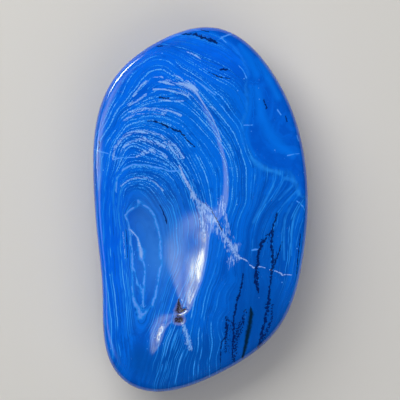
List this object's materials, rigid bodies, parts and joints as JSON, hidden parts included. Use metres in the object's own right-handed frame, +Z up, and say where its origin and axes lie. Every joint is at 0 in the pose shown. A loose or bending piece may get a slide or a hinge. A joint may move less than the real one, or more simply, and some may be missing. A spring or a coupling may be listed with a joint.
{
  "type": "blue amber specimen",
  "caption": "Polished freeform slab of banded blue amber with a ledge, a shallow scooped lobe and a small open pit in its show face; lies on its flat lapped back.",
  "frame": {"origin": "on the flat lapped back that the stone rests on, under the middle of its bounding box", "axes": "+Z up, out of the show face; +Y along the stone towards its rounded top end; +X towards the right-hand edge of the show face, the side that bulges"},
  "size_m": [0.0386, 0.0656, 0.0132],
  "materials": {
    "blue_amber": "hand-polished, glossy, opaque milky blue with fine banding"
  },
  "bodies": {
    "root": {"amber_stone": "blue_amber"}
  },
  "joints": []
}
